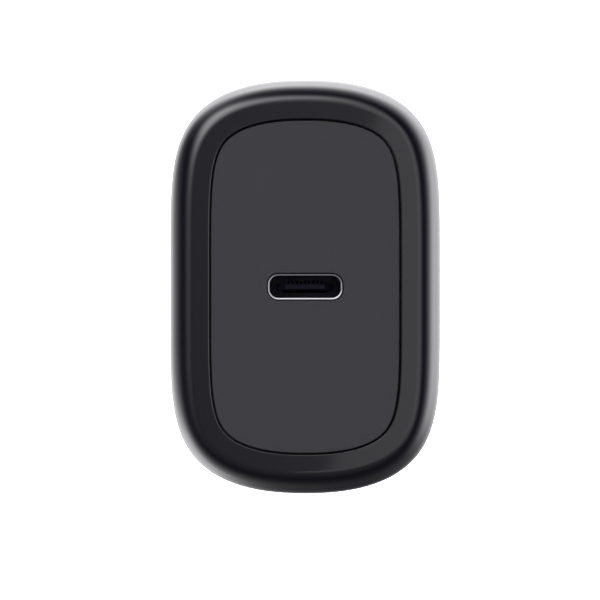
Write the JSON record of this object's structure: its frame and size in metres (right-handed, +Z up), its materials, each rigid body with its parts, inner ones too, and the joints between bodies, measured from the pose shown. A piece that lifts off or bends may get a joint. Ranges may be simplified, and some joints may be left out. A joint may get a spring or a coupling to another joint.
{
  "type": "usb wall charger",
  "caption": "Upright wall charger with a soft-cornered rectangular body, a USB-C socket in a matte inset panel, and a fixed round-pin plug behind.",
  "frame": {"origin": "middle of the flat plug face that meets the wall socket, halfway between the two pins", "axes": "+Y along the pins, into the socket; -Y is the front with the USB-C socket, which the user sees; +Z up, along the line through both pins; +X to the right as seen from the front"},
  "size_m": [0.032, 0.077, 0.049],
  "materials": {
    "housing_gloss": "black polycarbonate, polished mould surface",
    "panel_matte": "dark grey polycarbonate, fine spark-textured mould surface",
    "cover_matte": "black polycarbonate, satin mould surface",
    "pin_plating": "nickel-plated turned brass",
    "sleeve_plastic": "black moulded nylon",
    "spring_bronze": "rolled phosphor bronze strip",
    "board_laminate": "glass-epoxy laminate under green solder mask",
    "socket_steel": "drawn stainless steel, nickel-plated",
    "socket_insulator": "black liquid-crystal polymer",
    "contact_gold": "copper alloy with a thin gold plating",
    "ferrite": "ground dark grey ferrite",
    "bobbin_plastic": "black phenolic moulding with tinned pins",
    "yellow_tape": "yellow polyester tape over the copper turns",
    "can_aluminium": "drawn aluminium can",
    "can_sleeve": "dark blue shrink sleeve",
    "film_case": "yellow plastic case with epoxy fill",
    "blue_epoxy": "blue dipped epoxy",
    "copper_wire": "enamelled copper wire",
    "fuse_ceramic": "white ceramic tube with plated end caps",
    "dark_epoxy": "dark green dipped epoxy",
    "chip_epoxy": "black moulded epoxy with tinned feet",
    "resistor_body": "alumina with a black film and tinned ends",
    "capacitor_body": "tan ceramic with tinned ends",
    "solder": "tin solder",
    "sheet_film": "aramid insulating paper"
  },
  "bodies": {
    "root": {"housing_shell": "housing_gloss", "front_panel": "panel_matte", "rear_cover": "cover_matte", "pin_carrier": "cover_matte", "plug_pin_upper": "pin_plating", "plug_pin_lower": "pin_plating", "pin_sleeve_upper": "sleeve_plastic", "pin_sleeve_lower": "sleeve_plastic", "pin_contact_upper": "spring_bronze", "pin_contact_lower": "spring_bronze", "main_board": "board_laminate", "port_board": "board_laminate", "usb_shell": "socket_steel", "usb_tongue": "socket_insulator", "usb_contacts": "contact_gold", "transformer_core": "ferrite", "transformer_bobbin": "bobbin_plastic", "transformer_winding": "yellow_tape", "bulk_capacitor_front": "can_aluminium", "bulk_sleeve_front": "can_sleeve", "bulk_capacitor_rear": "can_aluminium", "bulk_sleeve_rear": "can_sleeve", "output_capacitor": "can_aluminium", "film_capacitor": "film_case", "disc_capacitor": "blue_epoxy", "choke_core": "ferrite", "choke_winding": "copper_wire", "drum_core": "ferrite", "drum_winding": "copper_wire", "input_fuse": "fuse_ceramic", "thermistor": "dark_epoxy", "bridge_rectifier": "chip_epoxy", "optocoupler": "chip_epoxy", "control_chip": "chip_epoxy", "rectifier_chip": "chip_epoxy", "port_chip": "chip_epoxy", "chip_resistors": "resistor_body", "chip_capacitors": "capacitor_body", "solder_joints": "solder", "insulating_sheet": "sheet_film"}
  },
  "joints": []
}
